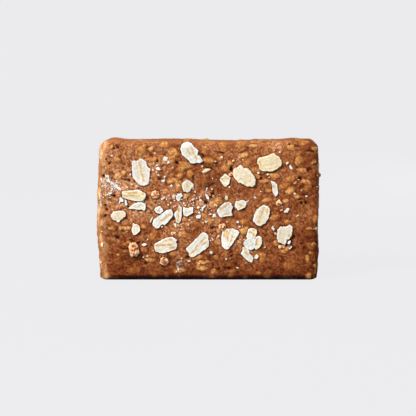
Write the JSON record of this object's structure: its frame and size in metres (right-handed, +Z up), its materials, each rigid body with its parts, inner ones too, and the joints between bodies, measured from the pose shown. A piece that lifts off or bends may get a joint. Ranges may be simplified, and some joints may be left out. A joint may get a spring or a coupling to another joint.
{
  "type": "oat bar",
  "caption": "Thick oblong snack bar of baked oat dough, standing on one long edge, with bedded rolled oats and pale oat flakes pressed onto its front.",
  "frame": {"origin": "middle of the flat underside that the bar stands on", "axes": "+X along the bar, to the right as seen from the front; -Y out of the front, where the pale flakes are; +Z up"},
  "size_m": [0.1016, 0.0221, 0.0648],
  "materials": {
    "dough": "baked brown oat dough, nearly matt"
  },
  "bodies": {
    "root": {"oat_bar": "dough"}
  },
  "joints": []
}
